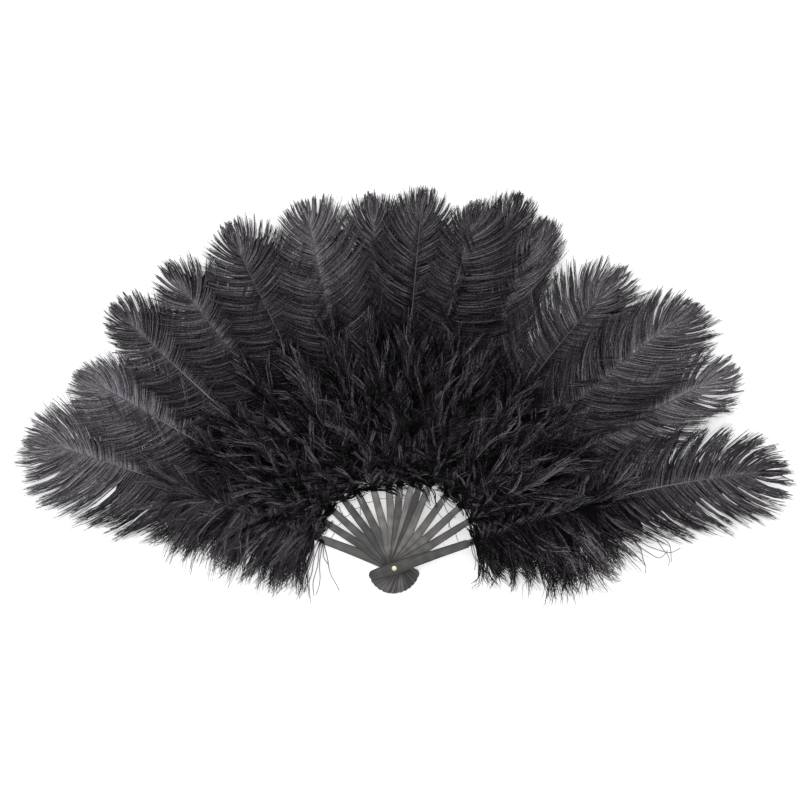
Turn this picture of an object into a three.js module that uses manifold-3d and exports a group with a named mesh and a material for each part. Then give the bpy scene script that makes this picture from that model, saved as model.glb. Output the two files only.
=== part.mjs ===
// A folding feather fan, open and lying face up. Staves turn on one rivet, and each carries a long
// plume in a slot at its outer end and a tuft of down in front of the slot.
// Millimetres, +Z up and towards the fan's front. The origin is on the rivet's axis, at the flat end
// of its tail, and +Y runs from the rivet through the middle of the feathers.

import * as THREE from "three";
import { mergeVertices } from "three/addons/utils/BufferGeometryUtils.js";
import Module from "manifold-3d";

const wasm = await Module();
wasm.setup();

// The open fan, one value for each stave from the rear guard on the left to the front guard on the
// right: its angle from +Y in degrees, and how much longer its plume is than PLUME_LENGTH.
const STAVE_ANGLES = [
  -69.5, -57.4, -47.6, -37, -26.4, -15, -3.9, 3.8, 11.7, 17.2, 23.2, 35.8, 47.2, 58, 71.5,
];
const PLUME_EXTRA = [7, -11, 3, -3, -2, -8, -11, -5, -7, 9, -7, -8, 13, 9, 17];

// Staves: flat strips, widest at the rivet, that thin to a rib under the feathers.
const HEAD_LENGTH = 26.5; // rivet axis to the rounded end below it
const HEAD_WIDTH = 9;
const NECK_WIDTH = 11.3; // at the rivet
const WAIST_DISTANCE = 48; // rivet axis to where the sides turn almost parallel
const WAIST_WIDTH = 7.9;
const STICK_LENGTH = 77; // rivet axis to the shoulder where the stave thins
const SHOULDER_WIDTH = 7;
const STAVE_THICKNESS = 1.2;
const GUARD_EXTRA_THICKNESS = 0.8;
const GUARD_EXTRA_WIDTH = 1.2;
const STAVE_GAP = 0.25; // running gap between one stave and the next
const EDGE_CHAMFER = 0.2;
const RIB_LENGTH = 68; // shoulder to the outer end
const RIB_WIDTH = 5.2; // at the outer end
const RIB_THICKNESS = 0.5;
const QUILL_SLOT_LENGTH = 32; // open slot in the rib's outer end

// Rivet and washer.
const SHANK_DIAMETER = 3;
const SHANK_CLEARANCE = 0.09; // between shank and hole, all round
const HEAD_DIAMETER = 5.8;
const DOME_HEIGHT = 1.7;
const TAIL_DIAMETER = 5;
const TAIL_HEIGHT = 0.9;
const WASHER_DIAMETER = 7.6;
const WASHER_THICKNESS = 0.5;
const SEAT_GAP = 0.1; // between the rivet's ends, the washer and the guards

// Linking cord, laid across the back of every stave to stop the fan at its full spread.
const CORD_DIAMETER = 0.8;
const CORD_SETBACK = 7; // from the shoulder towards the rivet
const CORD_SAG = 0.12; // towards the rivet between two staves, as a share of the free stretch
const CORD_CLEARANCE = 0.3;

// Plumes.
const PLUME_LENGTH = 272; // end of the quill to the tip
const QUILL_WIDTH = 2;
const QUILL_CLEARANCE = 0.2; // to the slot's walls and floor
const VANE_GAP = 3; // end of the rib to the first barbs
const PLUME_THICKNESS = RIB_THICKNESS;
const PLUME_BARB_LENGTH = 78; // longest barb
const PLUME_TIP_BARB_LENGTH = 34; // barb at the very tip
const PLUME_BUNCHES = 15; // bunches of barbs on each side
const GUARD_PLUME_SPREAD = 1.12; // longer barbs on a guard's outer side

// Tufts of down.
const TUFT_CLEARANCE = 0.2; // to the rib and the plume behind it, and to the shoulder
const TUFT_STALK_WIDTH = 4;
const TUFT_ROOT_LENGTH = 84; // stretch of the rib and quill that the barbs grow from
const TUFT_BARB_LENGTH = 74; // longest barb
const TUFT_BUNCHES = 11;
const GUARD_TUFT_SPREAD = 1.3;

// Facets of round shapes.
const ROUND_FACETS = 24;
const HOLE_FACETS = 16;
const HEAD_END_FACETS = 10;
const CORD_FACETS = 6;
const CORD_STEPS_PER_STAVE = 6;

// What follows from the sizes above.
const STAVE_COUNT = STAVE_ANGLES.length;
const LAST = STAVE_COUNT - 1;
const PITCH = STAVE_THICKNESS + STAVE_GAP;
const WASHER_Z = TAIL_HEIGHT + SEAT_GAP;
const REAR_GUARD_Z = WASHER_Z + WASHER_THICKNESS + SEAT_GAP;
const FIRST_LAYER_Z = REAR_GUARD_Z + GUARD_EXTRA_THICKNESS;
const FRONT_Z = FIRST_LAYER_Z + LAST * PITCH + STAVE_THICKNESS + GUARD_EXTRA_THICKNESS;
const HOLE_RADIUS = (SHANK_DIAMETER / 2 + SHANK_CLEARANCE) / Math.cos(Math.PI / HOLE_FACETS);
const STAVE_END = STICK_LENGTH + RIB_LENGTH;
const QUILL_START = STAVE_END - QUILL_SLOT_LENGTH + QUILL_CLEARANCE;
const CORD_RADIUS = STICK_LENGTH - CORD_SETBACK; // from the rivet's axis
const TUFT_THICKNESS = STAVE_THICKNESS - RIB_THICKNESS - TUFT_CLEARANCE;

const STAVE_MATERIAL = new THREE.MeshStandardMaterial({ color: 0x55544f, roughness: 0.55, metalness: 0 });
const PLUME_MATERIAL = new THREE.MeshStandardMaterial({ color: 0x2c2a2d, roughness: 0.8, metalness: 0 });
const TUFT_MATERIAL = new THREE.MeshStandardMaterial({ color: 0x1f1d20, roughness: 0.9, metalness: 0 });
const CORD_MATERIAL = new THREE.MeshStandardMaterial({ color: 0x1b1a1a, roughness: 0.8, metalness: 0 });
const BRASS_MATERIAL = new THREE.MeshStandardMaterial({ color: 0xd9cf9c, roughness: 0.25, metalness: 1 });

// A closed geometry as a solid that can be joined to another.
function solidOf(geometry) {
  const bare = geometry.clone();
  bare.deleteAttribute("normal");
  bare.deleteAttribute("uv");
  const merged = mergeVertices(bare, 1e-4);
  const vertProperties = merged.attributes.position.array;
  const triVerts = new Uint32Array(merged.index.array);
  return new wasm.Manifold(new wasm.Mesh({ numProp: 3, vertProperties, triVerts }));
}

// Two geometries that overlap, joined into one closed geometry.
function joined(first, second) {
  const mesh = solidOf(first).add(solidOf(second)).getMesh();
  const geometry = new THREE.BufferGeometry();
  geometry.setAttribute("position", new THREE.BufferAttribute(mesh.vertProperties, 3));
  geometry.setIndex(new THREE.BufferAttribute(mesh.triVerts, 1));
  geometry.computeVertexNormals();
  return geometry;
}

// A flat plate with square edges, its back face at z = 0.
function plate(shape, thickness) {
  return new THREE.ExtrudeGeometry(shape, { depth: thickness, bevelEnabled: false });
}

// A flat plate whose edges and holes are chamfered, its back face at z = 0.
function chamferedPlate(shape, thickness) {
  const geometry = new THREE.ExtrudeGeometry(shape, {
    depth: thickness - 2 * EDGE_CHAMFER,
    bevelThickness: EDGE_CHAMFER,
    bevelSize: EDGE_CHAMFER,
    bevelOffset: -EDGE_CHAMFER,
    bevelSegments: 1,
    curveSegments: HEAD_END_FACETS,
  });
  return geometry.translate(0, 0, EDGE_CHAMFER);
}

// The stick of a stave, from its rounded head past the rivet to the shoulder, with the rivet's hole.
function stickShape(extraWidth) {
  const headRadius = (HEAD_WIDTH + extraWidth) / 2;
  const neck = (NECK_WIDTH + extraWidth) / 2;
  const waist = (WAIST_WIDTH + extraWidth) / 2;
  const shoulder = (SHOULDER_WIDTH + extraWidth) / 2;
  const shape = new THREE.Shape();
  shape.moveTo(shoulder, STICK_LENGTH);
  shape.lineTo(-shoulder, STICK_LENGTH);
  shape.lineTo(-waist, WAIST_DISTANCE);
  shape.lineTo(-neck, 0);
  shape.lineTo(-headRadius, headRadius - HEAD_LENGTH);
  shape.absarc(0, headRadius - HEAD_LENGTH, headRadius, Math.PI, 2 * Math.PI, false);
  shape.lineTo(neck, 0);
  shape.lineTo(waist, WAIST_DISTANCE);
  shape.closePath();
  const hole = [];
  for (let i = 0; i < HOLE_FACETS; i++) {
    const turn = (2 * Math.PI * i) / HOLE_FACETS;
    hole.push(new THREE.Vector2(HOLE_RADIUS * Math.cos(turn), HOLE_RADIUS * Math.sin(turn)));
  }
  shape.holes.push(new THREE.Path(hole));
  return shape;
}

// The thin rib of a stave, which starts inside the stick and ends in a fork for the plume's quill.
function ribShape() {
  const root = STICK_LENGTH - RIB_WIDTH;
  const inner = SHOULDER_WIDTH / 2 - EDGE_CHAMFER;
  const outer = RIB_WIDTH / 2;
  const slot = QUILL_WIDTH / 2 + QUILL_CLEARANCE;
  const slotFloor = STAVE_END - QUILL_SLOT_LENGTH;
  return new THREE.Shape([
    new THREE.Vector2(inner, root),
    new THREE.Vector2(inner, STICK_LENGTH),
    new THREE.Vector2(outer, STAVE_END),
    new THREE.Vector2(slot, STAVE_END),
    new THREE.Vector2(slot, slotFloor),
    new THREE.Vector2(-slot, slotFloor),
    new THREE.Vector2(-slot, STAVE_END),
    new THREE.Vector2(-outer, STAVE_END),
    new THREE.Vector2(-inner, STICK_LENGTH),
    new THREE.Vector2(-inner, root),
  ]);
}

// A stave with its layer's back face at z = 0. A guard's extra thickness lies on its outer face.
function staveGeometry(index) {
  const guard = index === 0 || index === LAST;
  const thickness = STAVE_THICKNESS + (guard ? GUARD_EXTRA_THICKNESS : 0);
  const stick = chamferedPlate(stickShape(guard ? GUARD_EXTRA_WIDTH : 0), thickness);
  stick.translate(0, 0, index === 0 ? -GUARD_EXTRA_THICKNESS : 0);
  return joined(stick, plate(ribShape(), RIB_THICKNESS));
}

// A number from -1 to 1 that looks random and is the same on every run.
function scatter(seed, index) {
  const value = Math.sin(seed * 78.233 + index * 12.9898) * 43758.5453;
  return 2 * (value - Math.floor(value)) - 1;
}

// One edge of a feather from its base to its tip, as a row of pointed bunches of barbs with notches
// between them. feather.barb(u) gives the length and the lean from the shaft of the barbs at the
// share u of the rooted stretch, and side is 1 for the right edge and -1 for the left.
function barbEdge(feather, side, spread) {
  const NOTCH_DEPTH = 0.3;
  const RAGGEDNESS = 0.08;
  const points = [];
  const put = (u, share) => {
    const { length, lean } = feather.barb(u);
    const root = feather.rootStart + (feather.rootEnd - feather.rootStart) * u;
    const reach = length * share * THREE.MathUtils.lerp(spread, 1, u);
    points.push(new THREE.Vector2(side * reach * Math.sin(lean), root + reach * Math.cos(lean)));
  };
  for (let i = 0; i < feather.bunches; i++) {
    if (i > 0) put(i / feather.bunches, 1 - NOTCH_DEPTH);
    put((i + 0.5) / feather.bunches, 1 + RAGGEDNESS * scatter(feather.seed, side * (i + 1)));
  }
  return points;
}

// The flat outline of a whole feather: its stalk, then both barbed edges and the tip.
function featherShape(feather) {
  const stalk = feather.stalkWidth / 2;
  const right = barbEdge(feather, 1, feather.rightSpread);
  const left = barbEdge(feather, -1, feather.leftSpread);
  return new THREE.Shape([
    new THREE.Vector2(-stalk, feather.stalkStart),
    new THREE.Vector2(stalk, feather.stalkStart),
    new THREE.Vector2(stalk, feather.rootStart),
    ...right,
    new THREE.Vector2(0, feather.reach),
    ...left.reverse(),
    new THREE.Vector2(-stalk, feather.rootStart),
  ]);
}

// How much longer the barbs on a guard's outer side are: [left, right] for the stave at index.
function guardSpread(index, amount) {
  return [index === 0 ? amount : 1, index === LAST ? amount : 1];
}

// A long plume: barbs lean out widely at its base and close up towards a rounded tip.
function plumeGeometry(index) {
  const WIDEST = 0.35; // share of the vane where the barbs are longest
  const BASE_SHORTENING = 0.7; // at the base, as a share of the shortening at the tip
  const CLOSING = 1.2; // power by which the barbs close up
  const BASE_LEAN = THREE.MathUtils.degToRad(80);
  const TIP_LEAN = THREE.MathUtils.degToRad(12);
  const [leftSpread, rightSpread] = guardSpread(index, GUARD_PLUME_SPREAD);
  const reach = QUILL_START + PLUME_LENGTH + PLUME_EXTRA[index];
  const shape = featherShape({
    seed: index + 1,
    stalkStart: QUILL_START,
    stalkWidth: QUILL_WIDTH,
    rootStart: STAVE_END + VANE_GAP,
    rootEnd: reach - PLUME_TIP_BARB_LENGTH,
    reach,
    bunches: PLUME_BUNCHES,
    leftSpread,
    rightSpread,
    barb: (u) => {
      const before = Math.max(0, (WIDEST - u) / WIDEST);
      const after = Math.max(0, (u - WIDEST) / (1 - WIDEST));
      const shortening = before * before * BASE_SHORTENING + after * after;
      return {
        length: THREE.MathUtils.lerp(PLUME_BARB_LENGTH, PLUME_TIP_BARB_LENGTH, shortening),
        lean: THREE.MathUtils.lerp(BASE_LEAN, TIP_LEAN, Math.pow(u, CLOSING)),
      };
    },
  });
  return plate(shape, PLUME_THICKNESS);
}

// A tuft of down: short barbs point back along the stave at its base, long ones outwards.
function tuftGeometry(index) {
  const BASE_LEAN = THREE.MathUtils.degToRad(100);
  const TIP_LEAN = THREE.MathUtils.degToRad(12);
  const SHORTEST = 0.42; // of the longest barb, at the base
  const CLOSING = 0.9;
  const start = STICK_LENGTH + TUFT_CLEARANCE;
  const rootStart = start + TUFT_STALK_WIDTH;
  const rootEnd = rootStart + TUFT_ROOT_LENGTH;
  const [leftSpread, rightSpread] = guardSpread(index, GUARD_TUFT_SPREAD);
  const shape = featherShape({
    seed: index + 1 + STAVE_COUNT,
    stalkStart: start,
    stalkWidth: TUFT_STALK_WIDTH,
    rootStart,
    rootEnd,
    reach: rootEnd + TUFT_BARB_LENGTH,
    bunches: TUFT_BUNCHES,
    leftSpread,
    rightSpread,
    barb: (u) => ({
      length: TUFT_BARB_LENGTH * THREE.MathUtils.lerp(SHORTEST, 1, Math.sqrt(u)),
      lean: THREE.MathUtils.lerp(BASE_LEAN, TIP_LEAN, Math.pow(u, CLOSING)),
    }),
  });
  return plate(shape, TUFT_THICKNESS);
}

// A shape turned about the rivet's axis, from profile points [radius, height] that close on themselves.
function turned(profile) {
  const points = profile.map(([radius, height]) => new THREE.Vector2(radius, height));
  return new THREE.LatheGeometry(points, ROUND_FACETS).rotateX(Math.PI / 2);
}

// The rivet: a flat upset tail, a shank through every stave and a domed head in front.
function rivetGeometry() {
  const DOME_STEPS = 6;
  const seat = FRONT_Z + SEAT_GAP;
  const profile = [
    [0, 0],
    [TAIL_DIAMETER / 2, 0],
    [TAIL_DIAMETER / 2, TAIL_HEIGHT],
    [SHANK_DIAMETER / 2, TAIL_HEIGHT],
    [SHANK_DIAMETER / 2, seat],
  ];
  for (let i = 0; i < DOME_STEPS; i++) {
    const turn = (Math.PI / 2) * (i / DOME_STEPS);
    profile.push([(HEAD_DIAMETER / 2) * Math.cos(turn), seat + DOME_HEIGHT * Math.sin(turn)]);
  }
  profile.push([0, seat + DOME_HEIGHT]);
  return turned(profile);
}

// The washer between the rivet's tail and the rear guard.
function washerGeometry() {
  const inner = SHANK_DIAMETER / 2 + SHANK_CLEARANCE;
  const outer = WASHER_DIAMETER / 2;
  const top = WASHER_Z + WASHER_THICKNESS;
  return turned([
    [inner, WASHER_Z],
    [outer, WASHER_Z],
    [outer, top],
    [inner, top],
    [inner, WASHER_Z],
  ]);
}

// The linking cord: straight behind the middle and the right half of each stave, with a little slack
// where it rises to the next.
function cordGeometry() {
  const share = (CORD_RADIUS - WAIST_DISTANCE) / (STICK_LENGTH - WAIST_DISTANCE);
  const staveWidth = THREE.MathUtils.lerp(WAIST_WIDTH, SHOULDER_WIDTH, share);
  const drop = CORD_CLEARANCE + CORD_DIAMETER / 2;
  const points = [];
  const put = (degrees, radius, z) => {
    const turn = THREE.MathUtils.degToRad(degrees);
    points.push(new THREE.Vector3(radius * Math.sin(turn), radius * Math.cos(turn), z));
  };
  let edge;
  STAVE_ANGLES.forEach((angle, index) => {
    const guard = index === 0 || index === LAST;
    const halfWidth = (staveWidth + (guard ? GUARD_EXTRA_WIDTH : 0)) / 2;
    const halfAngle = THREE.MathUtils.radToDeg(Math.atan2(halfWidth, CORD_RADIUS));
    const back = index === 0 ? REAR_GUARD_Z : FIRST_LAYER_Z + index * PITCH;
    const z = back - drop;
    if (index > 0) {
      const sag = CORD_SAG * CORD_RADIUS * THREE.MathUtils.degToRad(angle - edge);
      put((edge + angle) / 2, CORD_RADIUS - sag, (points.at(-1).z + z) / 2);
    }
    edge = angle + halfAngle;
    put(angle, CORD_RADIUS, z);
    put(edge, CORD_RADIUS, z);
  });
  const section = new THREE.Shape();
  section.absarc(0, 0, CORD_DIAMETER / 2, 0, 2 * Math.PI, false);
  return new THREE.ExtrudeGeometry(section, {
    extrudePath: new THREE.CatmullRomCurve3(points, false, "centripetal"),
    steps: CORD_STEPS_PER_STAVE * STAVE_COUNT,
    curveSegments: CORD_FACETS / 2,
    bevelEnabled: false,
  });
}

function named(name, geometry, material) {
  const mesh = new THREE.Mesh(geometry, material);
  mesh.name = name;
  return mesh;
}

const fan = new THREE.Group();
fan.add(named("rivet", rivetGeometry(), BRASS_MATERIAL));
fan.add(named("rear_washer", washerGeometry(), BRASS_MATERIAL));
fan.add(named("link_cord", cordGeometry(), CORD_MATERIAL));

STAVE_ANGLES.forEach((angle, index) => {
  const number = String(index + 1).padStart(2, "0");
  const ends = { 0: "rear_guard", [LAST]: "front_guard" };
  const leaf = new THREE.Group();
  leaf.position.z = FIRST_LAYER_Z + index * PITCH;
  leaf.rotation.z = -THREE.MathUtils.degToRad(angle);
  leaf.add(named(ends[index] ?? "stave_" + number, staveGeometry(index), STAVE_MATERIAL));
  leaf.add(named("plume_" + number, plumeGeometry(index), PLUME_MATERIAL));
  const tuft = named("tuft_" + number, tuftGeometry(index), TUFT_MATERIAL);
  tuft.position.z = RIB_THICKNESS + TUFT_CLEARANCE;
  leaf.add(tuft);
  fan.add(leaf);
});

export default fan;
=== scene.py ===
"""A black ostrich feather fan, open and lying face up on a pale table.

The staves, rivet and washer keep their solids. Geometry Nodes grow each plume and each tuft of down
barb by barb on its own stave. Metres, in the part's own frame: the rivet's axis is +Z, and +Y runs
from it through the middle of the feathers.
"""
import math

import bpy
from mathutils import Matrix, Vector


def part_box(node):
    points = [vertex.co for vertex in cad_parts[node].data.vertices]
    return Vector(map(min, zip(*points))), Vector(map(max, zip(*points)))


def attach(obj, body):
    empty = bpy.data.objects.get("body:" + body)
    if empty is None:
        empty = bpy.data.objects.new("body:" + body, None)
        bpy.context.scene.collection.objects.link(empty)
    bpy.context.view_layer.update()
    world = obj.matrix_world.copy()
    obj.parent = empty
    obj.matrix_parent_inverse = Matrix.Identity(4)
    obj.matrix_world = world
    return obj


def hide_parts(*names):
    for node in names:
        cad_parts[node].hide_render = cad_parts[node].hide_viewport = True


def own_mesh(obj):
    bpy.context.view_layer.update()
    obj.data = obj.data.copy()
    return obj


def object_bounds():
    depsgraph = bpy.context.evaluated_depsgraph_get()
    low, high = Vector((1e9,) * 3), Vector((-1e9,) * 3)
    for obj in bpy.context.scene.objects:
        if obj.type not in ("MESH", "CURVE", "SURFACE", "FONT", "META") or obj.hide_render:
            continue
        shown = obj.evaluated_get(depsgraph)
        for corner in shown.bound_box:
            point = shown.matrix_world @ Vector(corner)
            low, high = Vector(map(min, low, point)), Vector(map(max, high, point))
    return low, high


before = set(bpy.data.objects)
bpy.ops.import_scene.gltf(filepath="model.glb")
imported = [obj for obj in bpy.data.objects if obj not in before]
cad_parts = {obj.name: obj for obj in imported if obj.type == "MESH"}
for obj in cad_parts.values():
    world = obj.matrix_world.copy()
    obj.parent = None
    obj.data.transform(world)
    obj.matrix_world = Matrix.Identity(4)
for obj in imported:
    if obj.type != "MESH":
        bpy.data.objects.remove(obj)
CAD_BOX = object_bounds()

MM = 0.001
DEGREE = math.pi / 180

# The photograph: one pixel is a millimetre at the feathers, and the rivet lies at this pixel.
IMAGE_PIXELS = 800
PIXEL = 1 * MM
RIVET_PIXEL = (394.3, 567.3)
CAMERA_HEIGHT = 2.0
FEATHER_HEIGHT = 14 * MM
SENSOR_WIDTH = 36.0


def make_camera():
    """Looks straight down on the open fan, with the rivet at its place in the photograph."""
    data = bpy.data.cameras.new("camera")
    data.sensor_width = SENSOR_WIDTH
    data.lens = SENSOR_WIDTH * (CAMERA_HEIGHT - FEATHER_HEIGHT) / (IMAGE_PIXELS * PIXEL)
    camera = bpy.data.objects.new("camera", data)
    camera.location = (
        (IMAGE_PIXELS / 2 - RIVET_PIXEL[0]) * PIXEL,
        (RIVET_PIXEL[1] - IMAGE_PIXELS / 2) * PIXEL,
        CAMERA_HEIGHT,
    )
    bpy.context.scene.collection.objects.link(camera)
    bpy.context.scene.camera = camera


make_camera()

# Feathers keep this clear of the table, and this high at most.
TABLE_CLEARANCE = 0.8 * MM
HIGHEST = CAD_BOX[1].z + 9 * MM

STAVE_COUNT = 15
LAST = STAVE_COUNT - 1
NUMBERS = [f"{n:02d}" for n in range(1, STAVE_COUNT + 1)]
STAVES = ["rear_guard"] + [f"stave_{n}" for n in NUMBERS[1:-1]] + ["front_guard"]


def reach(node):
    """How far a node's solid reaches from the rivet's axis."""
    return max(math.hypot(v.co.x, v.co.y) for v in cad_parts[node].data.vertices)


def stave_angle(stave):
    """The turn of a stave from +Y towards +X, taken from the two prongs at its outer end."""
    END_BAND = 0.3 * MM
    vertices = [v.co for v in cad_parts[stave].data.vertices]
    limit = reach(stave) - END_BAND
    ends = [p for p in vertices if math.hypot(p.x, p.y) > limit]
    middle = sum(ends, Vector()) / len(ends)
    return math.atan2(middle.x, middle.y)


# Small helpers for colours, nodes and objects.


def linear(hex_colour):
    """An sRGB hex colour as linear red, green, blue and alpha."""
    channels = [int(hex_colour[i : i + 2], 16) / 255 for i in (0, 2, 4)]
    return [c / 12.92 if c <= 0.04045 else ((c + 0.055) / 1.055) ** 2.4 for c in channels] + [1]


def add(tree, kind, inputs=None, **settings):
    """Adds a node. Settings are its own properties; inputs give each socket a value or a link."""
    node = tree.nodes.new(kind)
    for name, value in settings.items():
        setattr(node, name, value)
    for key, value in (inputs or {}).items():
        if isinstance(value, bpy.types.Node):
            value = value.outputs[0]
        if isinstance(value, bpy.types.NodeSocket):
            tree.links.new(value, node.inputs[key])
        else:
            node.inputs[key].default_value = value
    return node


def show(name, mesh):
    """Puts a mesh in the scene as an object."""
    piece = bpy.data.objects.new(name, mesh)
    bpy.context.scene.collection.objects.link(piece)
    return piece


def new_material(name):
    """A material with an empty tree, its Principled shader and its output."""
    material = bpy.data.materials.new(name)
    material.use_nodes = True
    tree = material.node_tree
    tree.nodes.clear()
    shader = add(tree, "ShaderNodeBsdfPrincipled")
    add(tree, "ShaderNodeOutputMaterial", {"Surface": shader})
    return material, tree, shader


def colour_by(tree, shader, shade, stops):
    """Colours a shader by a shade, through stops that are each a place and a hex colour."""
    ramp = add(tree, "ShaderNodeValToRGB", {"Fac": shade})
    elements = ramp.color_ramp.elements
    while len(elements) < len(stops):
        elements.new(0.5)
    for element, (place, colour) in zip(elements, stops):
        element.position = place
        element.color = linear(colour)
    tree.links.new(ramp.outputs["Color"], shader.inputs["Base Color"])


# Finishes.


def dyed_barbs(name, stops, root, fade):
    """Ostrich barbs dyed black: matt threads, some grey and some near black, with painted light and
    shade at the root.
    """
    FLUFF = 1.5 * MM  # coarser than real barbules, so that it shows
    FLECK = 0.15  # how much paler or darker it is
    material, tree, shader = new_material(name)
    tone = add(tree, "ShaderNodeAttribute", attribute_name="tone").outputs["Fac"]
    painted_root_shading = add(tree, "ShaderNodeAttribute", attribute_name="painted_root_shading").outputs["Fac"]
    way = add(tree, "ShaderNodeAttribute", attribute_name="way").outputs["Fac"]
    # Painted light and shade at the root fades out into the barb's own tone.
    shade = add(tree, "ShaderNodeMapRange", {0: way, 1: root, 2: fade, 3: painted_root_shading, 4: tone})
    place = add(tree, "ShaderNodeTexCoord").outputs["Object"]
    fluff = add(tree, "ShaderNodeTexNoise", {"Vector": place, "Scale": 1 / FLUFF, "Detail": 2.0})
    fluff = add(tree, "ShaderNodeMapRange", {0: fluff, 1: 0.3, 2: 0.7, 3: -FLECK, 4: FLECK})
    shade = add(tree, "ShaderNodeMath", {0: shade, 1: fluff}, operation="ADD")
    colour_by(tree, shader, shade, stops)
    shader.inputs["Roughness"].default_value = 0.6
    shader.inputs["Specular IOR Level"].default_value = 0.06
    return material


def barbule_shade_felt():
    """Painted shade in the depth of a vane and of the down: a near-black sheet of barbule fluff."""
    FLUFF = 1.2 * MM  # coarser than real barbules, so that it shows
    material, tree, shader = new_material("black_shade_felt")
    place = add(tree, "ShaderNodeTexCoord").outputs["Object"]
    fluff = add(tree, "ShaderNodeTexNoise", {"Vector": place, "Scale": 1 / FLUFF, "Detail": 3.0})
    colour_by(tree, shader, fluff, [(0.3, "0a090a"), (0.7, "211f21")])
    shader.inputs["Roughness"].default_value = 0.9
    shader.inputs["Specular IOR Level"].default_value = 0.0
    return material


def quill_keratin(name, paleness):
    """Dyed quill: smooth keratin, greyer than the barbs at its base and dyed through at its thin tip."""
    STREAK = 2 * MM
    THIN = 0.35  # paleness of the tip
    material, tree, shader = new_material(name)
    way = add(tree, "ShaderNodeAttribute", attribute_name="way").outputs["Fac"]
    place = add(tree, "ShaderNodeTexCoord").outputs["Object"]
    streaks = add(tree, "ShaderNodeTexNoise", {"Vector": place, "Scale": 1 / STREAK, "Detail": 3.0})
    paleness = add(tree, "ShaderNodeMapRange", {0: way, 1: 0.45, 2: 0.9, 3: paleness, 4: THIN})
    shade = add(tree, "ShaderNodeMath", {0: streaks, 1: 0.3, 2: paleness}, operation="MULTIPLY_ADD")
    colour_by(tree, shader, shade, [(0.15, "2e2b2e"), (0.5, "4f4b4f"), (0.85, "8a8688")])
    shader.inputs["Roughness"].default_value = 0.45
    shader.inputs["Specular IOR Level"].default_value = 0.25
    return material


def stained_bamboo(name, angle, stops, paleness):
    """Bamboo stained dark grey: satin, with fine fibres along the stave, and painted shade that darkens
    its edges, where the staves meet, and its head by the rivet."""
    FIBRE_WIDTH = 0.7 * MM  # coarser than real fibres, so that they show
    FIBRE_LENGTH = 30 * MM
    MOTTLE = 12 * MM
    STICK_LENGTH = 77 * MM
    HALF_WIDTHS = 5.6 * MM, 3.4 * MM  # at the rivet and at the shoulder
    # Painted shade: the edges, where the staves meet, and the head by the rivet are drawn darker.
    EDGE_SHADE, HEAD_SHADE = 0.25, 0.12  # how much darker
    HEAD_START, HEAD_FULL = 8 * MM, -8 * MM  # from the rivet along the stave
    material, tree, shader = new_material(name)
    place = add(tree, "ShaderNodeTexCoord").outputs["Object"]
    along = add(tree, "ShaderNodeMapping", {"Vector": place, "Rotation": (0, 0, angle)})
    stretch = (1 / FIBRE_WIDTH, 1 / FIBRE_LENGTH, 1 / FIBRE_WIDTH)
    fibre_place = add(tree, "ShaderNodeVectorMath", {0: along, 1: stretch}, operation="MULTIPLY")
    fibres = add(tree, "ShaderNodeTexNoise", {"Vector": fibre_place, "Scale": 1.0, "Detail": 4.0})
    mottle = add(tree, "ShaderNodeTexNoise", {"Vector": along, "Scale": 1 / MOTTLE, "Detail": 2.0})
    both = add(tree, "ShaderNodeMath", {0: fibres, 1: mottle}, operation="ADD")
    shade = {0: both, 1: 0.6, 2: paleness - 0.1}
    shade = add(tree, "ShaderNodeMath", shade, operation="MULTIPLY_ADD")
    here = add(tree, "ShaderNodeSeparateXYZ", {0: along})
    half_width = {0: here.outputs["Y"], 2: STICK_LENGTH, 3: HALF_WIDTHS[0], 4: HALF_WIDTHS[1]}
    half_width = add(tree, "ShaderNodeMapRange", half_width)
    aside = add(tree, "ShaderNodeMath", {0: here.outputs["X"]}, operation="ABSOLUTE")
    aside = add(tree, "ShaderNodeMath", {0: aside, 1: half_width}, operation="DIVIDE")
    edge = add(tree, "ShaderNodeMapRange", {0: aside, 1: 0.65, 2: 1.0, 4: EDGE_SHADE})
    head = {0: here.outputs["Y"], 1: HEAD_START, 2: HEAD_FULL, 4: HEAD_SHADE}
    head = add(tree, "ShaderNodeMapRange", head)
    # Both painted shades darken the stave's colour.
    for painted_shade in (edge, head):
        shade = add(tree, "ShaderNodeMath", {0: shade, 1: painted_shade}, operation="SUBTRACT")
    colour_by(tree, shader, shade, stops)
    gloss = add(tree, "ShaderNodeMapRange", {0: fibres, 3: 0.42, 4: 0.6})
    bump = add(tree, "ShaderNodeBump", {"Strength": 0.25, "Distance": 0.1 * MM, "Height": fibres})
    tree.links.new(gloss.outputs[0], shader.inputs["Roughness"])
    tree.links.new(bump.outputs[0], shader.inputs["Normal"])
    return material


def polished_brass():
    """Pale brass, pressed and tumbled bright, with faint tarnish."""
    TARNISH = 1.5 * MM
    material, tree, shader = new_material("polished_pale_brass")
    place = add(tree, "ShaderNodeTexCoord").outputs["Object"]
    tarnish = add(tree, "ShaderNodeTexNoise", {"Vector": place, "Scale": 1 / TARNISH, "Detail": 3.0})
    colour_by(tree, shader, tarnish, [(0.3, "d8cf9e"), (0.7, "efe9c8")])
    gloss = add(tree, "ShaderNodeMapRange", {0: tarnish, 3: 0.16, 4: 0.3})
    tree.links.new(gloss.outputs[0], shader.inputs["Roughness"])
    shader.inputs["Metallic"].default_value = 1.0
    return material


def sewing_thread():
    """Black cotton thread: matt, with the slant of its twist."""
    TWIST = 0.6 * MM
    material, tree, shader = new_material("black_cotton_thread")
    place = add(tree, "ShaderNodeTexCoord").outputs["Object"]
    twist = add(tree, "ShaderNodeTexWave", {"Vector": place, "Scale": 0.3 / TWIST, "Distortion": 2.0})
    colour_by(tree, shader, twist, [(0.2, "2a2929"), (0.8, "4a4848")])
    shader.inputs["Roughness"].default_value = 0.85
    return material


# Growing barbs. One tree serves plumes and tufts; its inputs are the sizes of one feather. A barb is
# a soft ribbon of fine strands that draw together at its tip.

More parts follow.
